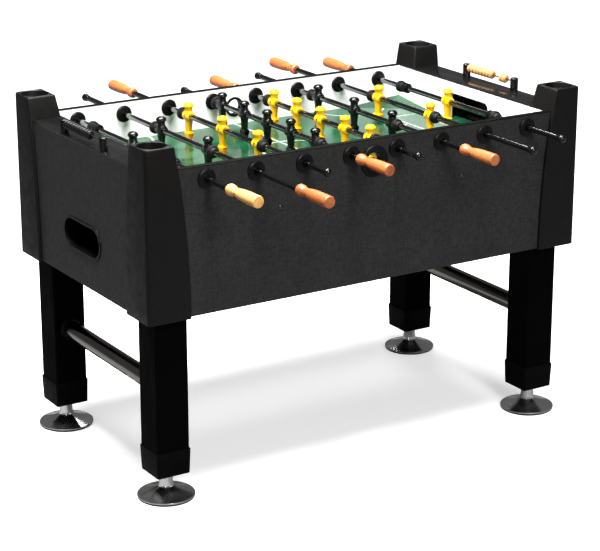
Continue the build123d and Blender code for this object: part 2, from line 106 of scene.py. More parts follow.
def new_material(name):
    mat = bpy.data.materials.new(name)
    mat.use_nodes = True
    tree = mat.node_tree
    return mat, tree, tree.nodes["Principled BSDF"]


def coordinates(tree, stretch=(1, 1, 1)):
    coord = tree.nodes.new("ShaderNodeTexCoord")
    mapping = tree.nodes.new("ShaderNodeMapping")
    mapping.inputs["Scale"].default_value = stretch
    tree.links.new(coord.outputs["Object"], mapping.inputs["Vector"])
    return mapping.outputs["Vector"]


def noise(tree, vector, scale, detail=4.0, roughness=0.55, distortion=0.0):
    tex = tree.nodes.new("ShaderNodeTexNoise")
    tex.inputs["Scale"].default_value = scale
    tex.inputs["Detail"].default_value = detail
    tex.inputs["Roughness"].default_value = roughness
    tex.inputs["Distortion"].default_value = distortion
    tree.links.new(vector, tex.inputs["Vector"])
    return tex.outputs["Fac"]


def ramp(tree, value, stops):
    node = tree.nodes.new("ShaderNodeValToRGB")
    points = node.color_ramp.elements
    while len(points) < len(stops):
        points.new(0.5)
    for point, (place, colour) in zip(points, stops):
        point.position = place
        point.color = (*colour, 1.0)
    tree.links.new(value, node.inputs["Fac"])
    return node.outputs["Color"]


def spread(tree, value, low, high, start=0.35, stop=0.65):
    """Maps start to stop onto low to high; noise stays mostly between the defaults."""
    node = tree.nodes.new("ShaderNodeMapRange")
    node.inputs["From Min"].default_value = start
    node.inputs["From Max"].default_value = stop
    node.inputs["To Min"].default_value = low
    node.inputs["To Max"].default_value = high
    tree.links.new(value, node.inputs["Value"])
    return node.outputs["Result"]


def math_node(tree, operation, *values):
    node = tree.nodes.new("ShaderNodeMath")
    node.operation = operation
    for socket, value in zip(node.inputs, values):
        if isinstance(value, float):
            socket.default_value = value
        else:
            tree.links.new(value, socket)
    return node.outputs["Value"]


def hypotenuse(tree, a, b):
    squares = [math_node(tree, "POWER", value, 2.0) for value in (a, b)]
    return math_node(tree, "SQRT", math_node(tree, "ADD", *squares))


def tinted(tree, factor, base, colour):
    """Mixes a fixed colour into a colour socket."""
    node = tree.nodes.new("ShaderNodeMix")
    node.data_type = "RGBA"
    sockets = {(socket.name, socket.type): socket for socket in node.inputs}
    tree.links.new(factor, sockets["Factor", "VALUE"])
    tree.links.new(base, sockets["A", "RGBA"])
    sockets["B", "RGBA"].default_value = (*colour, 1.0)
    return next(socket for socket in node.outputs if socket.type == "RGBA")


def add_bump(tree, shader, height, strength, distance):
    node = tree.nodes.new("ShaderNodeBump")
    node.inputs["Strength"].default_value = strength
    node.inputs["Distance"].default_value = distance
    tree.links.new(height, node.inputs["Height"])
    tree.links.new(node.outputs["Normal"], shader.inputs["Normal"])


def grey(value):
    return (value, value, value)


def surface(name, dark, light, rough, scale=120.0, stretch=(1, 1, 1), bump=0.1, bump_scale=600.0,
            metallic=0.0, coat=0.0, specular=0.5):
    """Mottled surface: two tones, uneven gloss and a fine bump."""
    mat, tree, shader = new_material(name)
    vector = coordinates(tree, stretch)
    tone = noise(tree, vector, scale, 5.0)
    fine = noise(tree, vector, bump_scale, 3.0)
    worn = noise(tree, vector, scale * 0.13, 3.0)
    tree.links.new(ramp(tree, tone, [(0.3, dark), (0.7, light)]), shader.inputs["Base Color"])
    tree.links.new(spread(tree, worn, *rough), shader.inputs["Roughness"])
    shader.inputs["Metallic"].default_value = metallic
    shader.inputs["Coat Weight"].default_value = coat
    shader.inputs["Coat Roughness"].default_value = 0.08
    shader.inputs["Specular IOR Level"].default_value = specular
    add_bump(tree, shader, fine, bump, 0.0003)
    return mat


def woven(name, dark, light):
    """Low-gloss laminate printed and pressed with a fine linen weave."""
    mat, tree, shader = new_material(name)
    warp = noise(tree, coordinates(tree, (1.0, 1.0, 0.12)), 520.0, 3.0, 0.6)
    weft = noise(tree, coordinates(tree, (0.12, 0.12, 1.0)), 520.0, 3.0, 0.6)
    threads = math_node(tree, "MULTIPLY", math_node(tree, "ADD", warp, weft), 0.5)
    cloud = noise(tree, coordinates(tree), 6.0, 3.0)
    tone = ramp(tree, threads, [(0.36, dark), (0.64, light)])
    shade = tinted(tree, spread(tree, cloud, 0.0, 0.2), tone, tuple(c * 0.7 for c in dark))
    tree.links.new(shade, shader.inputs["Base Color"])
    tree.links.new(spread(tree, threads, 0.62, 0.52), shader.inputs["Roughness"])
    shader.inputs["Specular IOR Level"].default_value = 0.2
    add_bump(tree, shader, threads, 0.4, 0.0004)
    return mat


def wood(name, dark, light, scale=26.0):
    """Turned hardwood with its grain along Y."""
    mat, tree, shader = new_material(name)
    vector = coordinates(tree, (1.0, 0.09, 1.0))
    broad = noise(tree, vector, scale, 4.0, 0.6, 0.6)
    pores = noise(tree, vector, scale * 22, 3.0, 0.6)
    middle = tuple(0.55 * a + 0.45 * b for a, b in zip(dark, light))
    tone = ramp(tree, broad, [(0.28, dark), (0.5, light), (0.74, middle)])
    streaks = spread(tree, pores, 0.0, 0.42, 0.52, 0.72)
    colour = tinted(tree, streaks, tone, tuple(c * 0.62 for c in dark))
    tree.links.new(colour, shader.inputs["Base Color"])
    tree.links.new(spread(tree, broad, 0.3, 0.42), shader.inputs["Roughness"])
    shader.inputs["Coat Weight"].default_value = 0.2
    shader.inputs["Coat Roughness"].default_value = 0.16
    add_bump(tree, shader, pores, 0.12, 0.0004)
    return mat


def line_mask(tree, distance):
    """1 where a distance is under half a line's width, softened at the edge."""
    return spread(tree, math_node(tree, "ABSOLUTE", distance), 1.0, 0.0, LINE_HALF, LINE_HALF * 1.6)


def pitch_lines(tree, vector):
    """Mask of the pitch's lines: centre line and circle, goal boxes with an arc, corner arcs."""
    parts = tree.nodes.new("ShaderNodeSeparateXYZ")
    tree.links.new(vector, parts.inputs["Vector"])
    along = math_node(tree, "ABSOLUTE", parts.outputs["X"])
    across = math_node(tree, "ABSOLUTE", parts.outputs["Y"])

    def arc(centre_x, centre_y, radius):
        reach = hypotenuse(tree, math_node(tree, "SUBTRACT", along, centre_x),
                           math_node(tree, "SUBTRACT", across, centre_y))
        return line_mask(tree, math_node(tree, "SUBTRACT", reach, radius))

    marks = [line_mask(tree, along), arc(0.0, 0.0, CIRCLE), arc(*CORNER_ARC)]
    for reach, half in PITCH_BOXES:
        dx = math_node(tree, "SUBTRACT", FIELD_END - reach, along)
        dy = math_node(tree, "SUBTRACT", across, half)
        marks.append(line_mask(tree, math_node(tree, "MAXIMUM", dx, dy)))
    outside = math_node(tree, "LESS_THAN", along, FIELD_END - PITCH_BOXES[0][0])
    marks.append(math_node(tree, "MULTIPLY", arc(FIELD_END - SPOT, 0.0, CIRCLE), outside))
    mask = marks[0]
    for mark in marks[1:]:
        mask = math_node(tree, "MAXIMUM", mask, mark)
    return mask


def field_material(name, lines):
    """Printed green field under a gloss finish, with worn streaks, white pitch lines and brown-orange
    blotches of painted reflection.
    """
    mat, tree, shader = new_material(name)
    vector = coordinates(tree)
    grass = noise(tree, vector, 9.0, 5.0, 0.6, 1.2)
    smear = noise(tree, coordinates(tree, (0.5, 2.4, 1.0)), 16.0, 6.0, 0.65, 1.6)
    painted_reflection = noise(tree, vector, 5.5, 2.0, 0.5, 0.4)
    greens = [(0.3, (0.0015, 0.021, 0.008)), (0.5, (0.004, 0.04, 0.016)), (0.72, (0.01, 0.072, 0.03))]
    colour = ramp(tree, grass, greens)
    colour = tinted(tree, spread(tree, smear, 0.0, 0.45, 0.52, 0.74), colour, (0.02, 0.086, 0.046))
    # brown-orange blotches mixed into the base colour: painted reflection in the gloss, not part of the
    # print
    colour = tinted(tree, spread(tree, painted_reflection, 0.0, 0.16, 0.55, 0.74), colour, (0.1, 0.055, 0.01))
    if lines:
        patchy = math_node(tree, "MULTIPLY", pitch_lines(tree, vector), spread(tree, smear, 0.5, 0.12))
        colour = tinted(tree, patchy, colour, (0.6, 0.68, 0.58))
    tree.links.new(colour, shader.inputs["Base Color"])
    tree.links.new(spread(tree, smear, 0.1, 0.2), shader.inputs["Roughness"])
    shader.inputs["Specular IOR Level"].default_value = 0.13
    shader.inputs["Coat Weight"].default_value = 0.03
    shader.inputs["Coat Roughness"].default_value = 0.08
    add_bump(tree, shader, noise(tree, vector, 260.0, 3.0), 0.05, 0.0003)
    return mat


LAMINATE = woven("charcoal_laminate", (0.0078, 0.0082, 0.008), (0.0285, 0.0294, 0.0283))
WHITE = surface("white_laminate", (0.88, 0.88, 0.87), (0.93, 0.93, 0.92), (0.3, 0.42), 60.0, bump=0.06)
GLOSS_BLACK = surface("gloss_black_laminate", grey(0.0035), (0.008, 0.0076, 0.0075), (0.1, 0.16), 90.0,
                      (0.3, 1, 1), bump=0.03, bump_scale=300.0, coat=0.1, specular=0.4)
BLACK_PLASTIC = surface("satin_black_plastic", (0.002, 0.0018, 0.0017), (0.005, 0.0046, 0.0044),
                        (0.42, 0.54), 260.0, bump=0.3, bump_scale=900.0, specular=0.16)
BUSHING_BLACK = surface("moulded_black", grey(0.0012), (0.0035, 0.0034, 0.0033), (0.3, 0.42), 200.0,
                        bump=0.2, bump_scale=700.0, specular=0.14)
LEG_BLACK = surface("leg_black", grey(0.0003), grey(0.001), (0.6, 0.72), 340.0, (1, 1, 0.3),
                    bump=0.3, bump_scale=700.0, specular=0.025)
BOOT_BLACK = surface("boot_black", grey(0.0006), (0.0016, 0.0016, 0.0015), (0.46, 0.58), 260.0,
                     bump=0.2, bump_scale=700.0, specular=0.05)
RUBBER = surface("black_rubber", (0.0022, 0.0022, 0.0021), (0.006, 0.0058, 0.0056), (0.42, 0.56), 240.0,
                 bump=0.35, bump_scale=800.0, specular=0.2)
PLAYER_BLACK = surface("player_black", grey(0.0016), (0.004, 0.004, 0.0039), (0.16, 0.26), 150.0,
                       bump=0.12, bump_scale=500.0, coat=0.05, specular=0.32)
PLAYER_YELLOW = surface("player_yellow", (0.88, 0.42, 0.0), (0.98, 0.51, 0.002), (0.24, 0.36),
                        bump=0.12, bump_scale=500.0, coat=0.1, specular=0.35)
BEAD_BLACK = surface("bead_black", grey(0.0025), grey(0.006), (0.3, 0.4), 200.0, specular=0.22)
CHROME = surface("chrome", grey(0.82), grey(0.92), (0.14, 0.24), 70.0,
                 bump=0.04, bump_scale=900.0, metallic=1.0)
# Rod and tube chrome are darker copies of CHROME: painted shade standing in for the dark reflections,
# and the tube's brown tint is a painted reflection of the floor
ROD_CHROME = surface("rod_chrome", (0.17, 0.17, 0.175), (0.28, 0.28, 0.285), (0.05, 0.11), 60.0,
                     (1, 0.1, 1), bump=0.04, bump_scale=900.0, metallic=1.0)
TUBE_CHROME = surface("tube_chrome", (0.2, 0.19, 0.175), (0.3, 0.285, 0.265), (0.1, 0.18), 60.0,
                      (1, 0.1, 1), bump=0.04, bump_scale=900.0, metallic=1.0)
DARK_STEEL = surface("dark_steel", (0.05, 0.05, 0.052), (0.11, 0.11, 0.112), (0.28, 0.4), 300.0,
                     bump_scale=900.0, metallic=1.0)
BOARD = surface("raw_fibreboard", (0.17, 0.11, 0.06), (0.3, 0.2, 0.115), (0.72, 0.85), 300.0,
                bump=0.4, bump_scale=700.0)
FIELD = field_material("printed_field", True)
RAMP_GREEN = field_material("printed_ramp", False)
HANDLE_WOOD = wood("turned_handle_wood", (0.25, 0.056, 0.014), (0.45, 0.135, 0.037))
PALE_WOOD = wood("pale_handle_wood", (0.50, 0.2, 0.045), (0.78, 0.42, 0.13))
BEAD_WOOD = wood("bead_wood", (0.36, 0.14, 0.04), (0.60, 0.29, 0.095), 60.0)


# ---- mesh helpers --------------------------------------------------------------------


def add_piece(name, mesh, mat, body, sharp=38.0):
    """Adds a mesh as a piece on a body, shaded smooth up to the sharp angle in degrees."""
    obj = bpy.data.objects.new(name, mesh)
    bpy.context.scene.collection.objects.link(obj)
    for polygon in mesh.polygons:
        polygon.use_smooth = True
    mesh.set_sharp_from_angle(angle=math.radians(sharp))
    mesh.materials.clear()
    mesh.materials.append(mat)
    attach(obj, body)
    return obj


def mesh_from(name, bm):
    bmesh.ops.recalc_face_normals(bm, faces=bm.faces)
    mesh = bpy.data.meshes.new(name)
    bm.to_mesh(mesh)
    bm.free()
    return mesh


def turned(bm, profile, place, direction, side, segments):
    """Adds a turned solid to bm: profile is (distance along the axis, radius) points."""
    rings = []
    for along, radius in profile:
        if radius < 1e-6:
            spots = [(0.0, 0.0)]
        else:
            turns = [2 * math.pi * k / segments for k in range(segments)]
            spots = [(radius * math.cos(turn), radius * math.sin(turn)) for turn in turns]
        ring = []
        for a, b in spots:
            offset = {"X": (side * along, a, b), "Y": (a, side * along, b), "Z": (a, b, side * along)}
            point = [start + step for start, step in zip(place, offset[direction])]
            ring.append(bm.verts.new(Vector(point) * MM))
        rings.append(ring)
    for low, high in zip(rings, rings[1:]):
        for k in range(max(len(low), len(high))):
            n = k + 1
            face = [low[k % len(low)], low[n % len(low)], high[n % len(high)], high[k % len(high)]]
            bm.faces.new([v for i, v in enumerate(face) if v not in face[:i]])


def turned_piece(name, mat, body, profile, places, direction, segments, sharp=38.0):
    """One piece made of the same turned solid at every (place, side)."""
    bm = bmesh.new()
    for place, side in places:
        turned(bm, profile, place, direction, side, segments)
    return add_piece(name, mesh_from(name, bm), mat, body, sharp)


def curve_profile(points, steps):
    """Smooth profile through the points, by Catmull-Rom."""
    result = []
    padded = [points[0]] + list(points) + [points[-1]]
    for i in range(1, len(padded) - 2):
        corners = padded[i - 1:i + 3]
        for s in range(steps):
            t = s / steps
            result.append(tuple(0.5 * ((2 * b) + (c - a) * t + (2 * a - 5 * b + 4 * c - d) * t * t
                                       + (3 * b - a - 3 * c + d) * t ** 3)
                                for a, b, c, d in zip(*corners)))
    result.append(tuple(points[-1]))
    return result


def rounded_ring(bm, x0, x1, y0, y1, z, radii, inset, steps):
    """A loop of vertices round a rectangle with its own radius at each corner."""
    corners = ((x1, y1, 0), (x0, y1, 1), (x0, y0, 2), (x1, y0, 3))
    loop = []
    for (cx, cy, quarter), radius in zip(corners, radii):
        r = max(radius - inset, 0.3)
        mx = cx - (1 if cx == x1 else -1) * (inset + r)
        my = cy - (1 if cy == y1 else -1) * (inset + r)
        for k in range(steps + 1):
            angle = math.pi / 2 * (quarter + k / steps)
            point = (mx + r * math.cos(angle), my + r * math.sin(angle), z)
            loop.append(bm.verts.new(Vector(point) * MM))
    return loop


def skin(bm, loops, caps=True):
    for low, high in zip(loops, loops[1:]):
        for k in range(len(low)):
            n = (k + 1) % len(low)
            bm.faces.new((low[k], low[n], high[n], high[k]))
    if caps:
        bm.faces.new(list(reversed(loops[0])))
        bm.faces.new(loops[-1])


def board(bm, x0, x1, y0, y1, z0, z1, edge, corner):
    """Box with all its edges rounded."""
    levels = [(z0, edge), (z0 + edge * 0.3, edge * 0.3), (z0 + edge, 0),
              (z1 - edge, 0), (z1 - edge * 0.3, edge * 0.3), (z1, edge)]
    loops = [rounded_ring(bm, x0, x1, y0, y1, z, [corner + edge] * 4, inset, 4) for z, inset in levels]
    skin(bm, loops)


def cut(mesh, cutters, name):
    """Subtracts cutter meshes from a mesh and returns the result as a new mesh."""
    base = bpy.data.objects.new("cut_base", mesh)
    bpy.context.scene.collection.objects.link(base)
    made = [base]
    for index, cutter in enumerate(cutters):
        tool = bpy.data.objects.new(f"cutter_{index}", cutter)
        bpy.context.scene.collection.objects.link(tool)
        made.append(tool)
        modifier = base.modifiers.new(f"cut_{index}", "BOOLEAN")
        modifier.operation = "DIFFERENCE"
        modifier.solver = "EXACT"
        modifier.object = tool
    bpy.context.view_layer.update()
    graph = bpy.context.evaluated_depsgraph_get()
    result = bpy.data.meshes.new_from_object(base.evaluated_get(graph))
    result.name = name
    for obj in made:
        bpy.data.objects.remove(obj)
    return result


def use_cad(node, *mats):
    mesh = NODES[node].data
    mesh.materials.clear()
    for mat in mats:
        mesh.materials.append(mat)
    return mesh


# ---- cabinet -------------------------------------------------------------------------


def white_inside(node, axis, sign):
    """CAD panel with its field side white and the rest charcoal."""
    mesh = use_cad(node, LAMINATE, WHITE)
    for polygon in mesh.polygons:
        polygon.material_index = 1 if polygon.normal[axis] * sign > 0.9 else 0


white_inside("front_panel", 1, 1)
white_inside("back_panel", 1, -1)
use_cad("left_end_panel", LAMINATE)
use_cad("right_end_panel", LAMINATE)
use_cad("end_walls", WHITE)
use_cad("playfield", FIELD)
use_cad("corner_ramps", RAMP_GREEN)
use_cad("field_battens", BOARD)
use_cad("cabinet_bottom", BLACK_PLASTIC)
use_cad("goal_boxes", BUSHING_BLACK)
use_cad("ball_returns", BUSHING_BLACK)
use_cad("legs", LEG_BLACK)

bm = bmesh.new()
for side in (-1, 1):
    x0, x1 = sorted((side * WELL_END, side * END_OUTER))
    board(bm, x0, x1, -SIDE_INNER, SIDE_INNER, RAIL_TOP - 4, RAIL_TOP, 1.0, 0.5)
ledges = add_piece("end_ledge_tops", mesh_from("end_ledge_tops", bm), GLOSS_BLACK, "cabinet")
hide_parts("end_ledges")

bm = bmesh.new()
for side in (-1, 1):
    y0, y1 = sorted((side * SIDE_INNER, side * SIDE_OUTER))
    board(bm, -END_INNER, END_INNER, y0, y1, RAIL_TOP - 2.6, RAIL_TOP, 0.9, 0.3)
trims = add_piece("rail_trims", mesh_from("rail_trims", bm), BOOT_BLACK, "cabinet")
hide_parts("edge_trims")


def post_width(height, foot, head):
    """Width of a post at a height above its foot: the inner edge is an arc, upright at the foot."""
    lean = foot - head
    radius = ((POST_HEAD - POST_FOOT) ** 2 + lean ** 2) / (2 * lean)
    return foot - (radius - math.sqrt(radius ** 2 - height ** 2))


def post_mesh(sx, sy):
    bm = bmesh.new()
    low, high = POST_FOOT + 2, POST_HEAD - 6
    levels = [(POST_FOOT, 2.0), (POST_FOOT + 0.6, 0.6), (low, 0.0)]
    levels += [(low + (high - low) * k / 14, 0.0) for k in range(1, 15)]
    levels += [(POST_HEAD - 3, 0.5), (POST_HEAD - 1, 1.8), (POST_HEAD, 4.2)]
    loops = []
    for z, inset in levels:
        width_x = post_width(z - POST_FOOT, *POST_WIDTHS_X)
        width_y = post_width(z - POST_FOOT, *POST_WIDTHS_Y)
        loops.append(rounded_ring(bm, POST_X - width_x, POST_X, POST_Y - width_y, POST_Y, z,
                                  (14, 6, 5, 6), inset, 6))
    skin(bm, loops)
    solid = mesh_from("post_solid", bm)
    bm = bmesh.new()
    turned(bm, [(0, 0), (0, 33), (0.6, 35.4), (2.2, 36.8), (4, 37), (52, 37), (54.4, 37.7), (56, 39.6),
                (62, 39.6), (62, 0)], CUP_PLACE, "Z", 1, 72)
    cup = mesh_from("post_cup", bm)
    bm = bmesh.new()
    skin(bm, [rounded_ring(bm, 0, END_OUTER, 0, SIDE_OUTER, z, (0.3,) * 4, 0, 1)
              for z in (300, RAIL_TOP)])
    room = mesh_from("post_room", bm)
    mesh = cut(solid, [cup, room], "corner_post")
    mesh.transform(Matrix.Diagonal((sx, sy, 1, 1)))
    if sx * sy < 0:
        mesh.flip_normals()
    return mesh


posts = []
for sx, sy, corner in CORNERS:
    posts.append(add_piece(f"corner_post_{corner}", post_mesh(sx, sy), BLACK_PLASTIC, "cabinet",
                           30.0))
for post in posts:
    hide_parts("corner_posts")


def return_rim(side):
    """Rounded rim round the mouth of the ball return."""
    bm = bmesh.new()
    section = ((0.0, 3.0), (1.8, 2.6), (2.8, 1.4), (3.0, 0.0), (2.8, -1.4), (1.6, -2.6), (0.0, -3.0),
               (-3.0, -3.2))
    loops = []
    half = RETURN_HALF - RETURN_RADIUS
    for proud, out in section:
        loop = []
        radius = RETURN_RADIUS + out
        for k in range(64):
            angle = 2 * math.pi * k / 64
            centre = half if math.cos(angle) >= 0 else -half
            point = (side * (END_OUTER + proud), centre + radius * math.cos(angle),
                     RETURN_Z + radius * math.sin(angle))
            loop.append(bm.verts.new(Vector(point) * MM))
        loops.append(loop)
    skin(bm, loops, False)
    return mesh_from("return_rim", bm)


for side, name in ((-1, "left"), (1, "right")):
    add_piece(f"return_rim_{name}", return_rim(side), PLAYER_BLACK, "cabinet", 60.0)

rod_holes = [((x, side * SIDE_INNER, ROD_Z), side) for x in ROD_XS for side in (-1, 1)]
bushings = turned_piece(
    "rod_bushing_flanges", BUSHING_BLACK, "cabinet",
    [(-7.2, 8.0), (-7.2, 12.3), (19.0, 12.3), (19.0, 26.0), (20.2, 26.0), (22.6, 25.4), (24.4, 23.2),
     (25.2, 20.0), (25.4, 16.0), (25.6, 13.6), (26.0, 12.4), (25.8, 10.4), (25.0, 8.8), (23.5, 8.0),
     (-7.2, 8.0)], rod_holes, "Y", 48, 30.0)
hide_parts("rod_bushings")
turned_piece(
    "rod_bushing_nuts", BUSHING_BLACK, "cabinet",
    [(0.0, 12.5), (0.0, 24.0), (-2.4, 24.0), (-4.8, 22.6), (-6.2, 19.6), (-6.8, 15.0), (-7.0, 12.5),
     (0.0, 12.5)], rod_holes, "Y", 48, 30.0)

ports = turned_piece(
    "serve_port_rings", BUSHING_BLACK, "cabinet",
    [(-2.0, 22.0), (-2.0, 29.4), (19.0, 29.4), (19.0, 43.0), (21.0, 43.0), (23.6, 42.2), (25.2, 40.6),
     (25.8, 38.6), (25.0, 36.4), (22.8, 30.2), (20.6, 25.2), (18.4, 22.6), (16.0, 22.0), (-2.0, 22.0)],
    [((0, side * SIDE_INNER, PORT_Z), side) for side in (-1, 1)], "Y", 64, 30.0)
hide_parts("serve_ports")

screws = turned_piece(
    "panel_screw_heads", DARK_STEEL, "cabinet",
    [(0.0, 5.5), (0.8, 5.5), (1.8, 4.6), (2.3, 3.0), (2.35, 1.6), (1.2, 1.3), (1.2, 0.0)],
    [((x, side * SIDE_OUTER, SCREW_Z), side) for side in (-1, 1) for x in (-SCREW_X, SCREW_X)], "Y", 24)
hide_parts("panel_screws")


# ---- legs ----------------------------------------------------------------------------


FLARE = [(5.1, 70.0), (5.1, 76.6), (6.0, 77.4), (8.0, 77.3), (9.6, 76.0), (10.4, 73.6)]
FLARE += curve_profile([(10.5, 73.0), (14.5, 60.0), (19.5, 45.0), (24.5, 32.0), (28.5, 24.0),
                        (30.5, 20.5)], 5)
FLARE += [(33.0, 19.6), (40, 18.6), (60, 17.4), (71.4, 17.0), (71.4, 5.0), (122, 5.0), (122, 0)]

boots = []
for sx, sy, corner in CORNERS:
    cx, cy = sx * LEG_X, sy * LEG_Y
    bm = bmesh.new()
    loops = []
    for z, half, inset in ((BOOT_LOW, 48.0, 2.0), (BOOT_LOW + 0.6, 48.0, 0.6), (BOOT_LOW + 2, 48.1, 0.0),
                           (BOOT_HIGH - 2, 50.5, 0.0), (BOOT_HIGH - 0.6, 50.5, 0.5),
                           (BOOT_HIGH, 50.5, 1.6), (BOOT_HIGH, 47.7, 0.0)):
        loops.append(rounded_ring(bm, cx - half, cx + half, cy - half, cy + half, z, (6,) * 4, inset, 6))
    skin(bm, loops)
    boots.append(add_piece(f"boot_{corner}", mesh_from("boot", bm), BOOT_BLACK, "cabinet",
                           40.0))

    body = f"foot_{corner}"
    axis = [((cx, cy, 0), 1)]
    turned_piece(f"foot_pad_{corner}", RUBBER, body,
                 [(0, 0), (0, 73.5), (0.8, 75.2), (2.0, 76.0), (4.6, 76.0), (5.2, 75.0), (5.2, 60.0),
                  (5.2, 0)], axis, "Z", 96, 30.0)
    foot = turned_piece(f"foot_flare_{corner}", CHROME, body, FLARE, axis, "Z", 96, 26.0)
    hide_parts(body)
for boot in boots:
    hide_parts("leg_boots")

tubes = turned_piece(
    "stretcher_tubes", TUBE_CHROME, "cabinet",
    [(-STRETCHER_HALF, 23.5), (-STRETCHER_HALF, STRETCHER_RADIUS),
     (STRETCHER_HALF, STRETCHER_RADIUS), (STRETCHER_HALF, 23.5)],
    [((side * LEG_X, 0, STRETCHER_Z), 1) for side in (-1, 1)], "Y", 64)
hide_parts("leg_stretchers")
turned_piece(
    "stretcher_collars", BUSHING_BLACK, "cabinet",
    [(STRETCHER_HALF, STRETCHER_RADIUS), (STRETCHER_HALF, 31.0), (250.0, 31.0), (247.4, 30.0),
     (246.5, 28.0), (246.5, STRETCHER_RADIUS)],
    [((side * LEG_X, 0, STRETCHER_Z), end) for side in (-1, 1) for end in (-1, 1)], "Y", 48)


# ---- scorers -------------------------------------------------------------------------


score_posts = turned_piece(
    "score_posts", PLAYER_BLACK, "cabinet",
    [(0, 11.5), (1, 11.5), (34.4, 11.5), (36.4, 10.8), (37.6, 9.2), (38.0, 6.0), (38.0, 0)],
    [((side * SCORER_X, end * SCORE_POST_Y, RAIL_TOP), 1) for side in (-1, 1) for end in (-1, 1)],
    "Z", 40, 50.0)
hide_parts("score_frames")
turned_piece(
    "score_rods", DARK_STEEL, "cabinet", [(-SCORE_POST_Y, 2.0), (SCORE_POST_Y, 2.0)],
    [((side * SCORER_X, 0, SCORER_Z), 1) for side in (-1, 1)], "Y", 16)

BEAD = curve_profile([(-7.3, 4.0), (-6.8, 6.6), (-5.0, 9.9), (-2.6, 12.0), (0.0, 12.5), (2.6, 12.0),
                      (5.0, 9.9), (6.8, 6.6), (7.3, 4.0)], 3)
BEAD = [(-7.3, 2.3)] + BEAD + [(7.3, 2.3), (-7.3, 2.3)]


def bead_group(name, x, first, count, mat, body, node):
    places = [((x, first - BEAD_PITCH * k, SCORER_Z), 1) for k in range(count)]
    beads = turned_piece(name, mat, body, BEAD, places, "Y", 32, 50.0)
    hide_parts(node)


bead_group("beads_left", -SCORER_X, FIRST_BEAD, 10, BEAD_BLACK,
           "score_left", "score_beads_left")
bead_group("beads_right_rest", SCORER_X, FIRST_BEAD, 8, BEAD_WOOD,
           "score_right_rest", "score_beads_right_rest")
bead_group("beads_right_won", SCORER_X, FIRST_WON_BEAD, 2, BEAD_WOOD,
           "score_right_won", "score_beads_right_won")


# ---- rods ----------------------------------------------------------------------------


def section(bm, z, half_x, half_y, power):
    """Loop of a squarish or round cross-section of a player, about the rod."""
    loop = []
    for k in range(32):
        angle = 2 * math.pi * k / 32
        c, s = math.cos(angle), math.sin(angle)
        x = half_x * math.copysign(abs(c) ** (2 / power), c)
        y = half_y * math.copysign(abs(s) ** (2 / power), s)
        loop.append(bm.verts.new(Vector((x, y, z)) * MM))
    return loop


def wedge_foot(bm):
    """The player's four-sided foot, narrow at the tip, with a hollow in each of its Y sides."""
    levels = [(-43.0, 6.8, 9.6), (-47.6, 7.8, 12.6), (-49.4, 8.6, 13.5), (-67.4, 3.9, 11.9),
              (-68.6, 3.5, 11.5), (-69.0, 2.9, 10.9)]
    quarters = ((1, 1), (-1, 1), (-1, -1), (1, -1))
    rings = [[bm.verts.new(Vector((sx * a, sy * b, z)) * MM) for sx, sy in quarters]
             for z, a, b in levels]
    sides = []
    for low, high in zip(rings, rings[1:]):
        for k in range(4):
            n = (k + 1) % 4
            face = bm.faces.new((low[k], low[n], high[n], high[k]))
            if k in (0, 2):
                sides.append(face)
    bm.faces.new(rings[0])
    bm.faces.new(list(reversed(rings[-1])))
    bmesh.ops.recalc_face_normals(bm, faces=bm.faces)
    broad = [f for f in sides if abs(f.calc_center_median().z + 0.058) < 0.006]
    for sign in (-1, 1):
        group = [f for f in broad if f.calc_center_median().y * sign > 0]
        bmesh.ops.inset_region(bm, faces=group, thickness=0.0019, depth=0.0)
        corners = list({v for f in group for v in f.verts})
        bmesh.ops.translate(bm, verts=corners, vec=Vector((0, -sign * 0.0105, 0)))


def player_mesh():
    """A moulded player: mushroom head, neck, rounded shoulders on the rod, legs and a wedge foot."""
    bm = bmesh.new()
    body = [(-50.0, 7.3, 10.0, 3.6), (-44.0, 7.3, 10.0, 3.2), (-34.0, 8.0, 10.5, 2.9),
            (-20.0, 9.3, 11.5, 2.7), (-13.0, 10.4, 12.7, 2.6), (-8.0, 11.8, 14.6, 2.5),
            (-3.0, 12.9, 15.7, 2.4), (3.0, 13.2, 16.0, 2.3), (8.0, 12.8, 15.8, 2.3),
            (12.0, 11.6, 14.2, 2.2), (14.6, 10.6, 12.0, 2.1), (16.6, 10.5, 10.9, 2.0),
            (20.0, 11.0, 11.1, 2.0), (24.6, 11.4, 11.4, 2.0)]
    head = [(25.2, 12.0), (25.8, 13.7), (27.0, 14.6), (28.6, 14.8), (30.4, 14.5), (33.0, 13.3),
            (35.4, 11.1), (37.2, 8.0), (38.2, 4.3), (38.5, 0.9)]
    loops = [section(bm, *row) for row in body]
    loops += [section(bm, z, radius, radius, 2.0) for z, radius in head]
    skin(bm, loops)
    turned(bm, [(-HUB_HALF, 8.0), (-HUB_HALF, 11.8), (-15.2, 13.0), (-13.5, 13.6), (13.5, 13.6),
                (15.2, 13.0), (HUB_HALF, 11.8), (HUB_HALF, 8.0)], (0, 0, 0), "Y", 1, 32)
    wedge_foot(bm)
    return mesh_from("player", bm)


def screw_mesh():
    """Dark screw head in the player's front."""
    bm = bmesh.new()
    turned(bm, [(11.6, 3.1), (13.6, 3.1), (14.1, 2.4), (14.1, 1.4), (13.2, 1.2), (13.2, 0)],
           (0, 0, 2.0), "X", -1, 20)
    return mesh_from("player_screw", bm)


PLAYER = player_mesh()
PLAYER_SCREW = screw_mesh()
GRIP = curve_profile([(0, 12.6), (2.2, 14.4), (7, 15.4), (14, 15.2), (21, 13.4), (28, 11.6), (35, 11.3),
                      (44, 12.4), (60, 14.4), (80, 15.6), (105, 16.0), (132, 16.0)], 4)
GRIP = [(0, 8.0), (0, 11.4)] + GRIP + [(136, 15.9), (138.6, 15.2), (139.8, 13.8), (140, 12.4), (140, 0)]


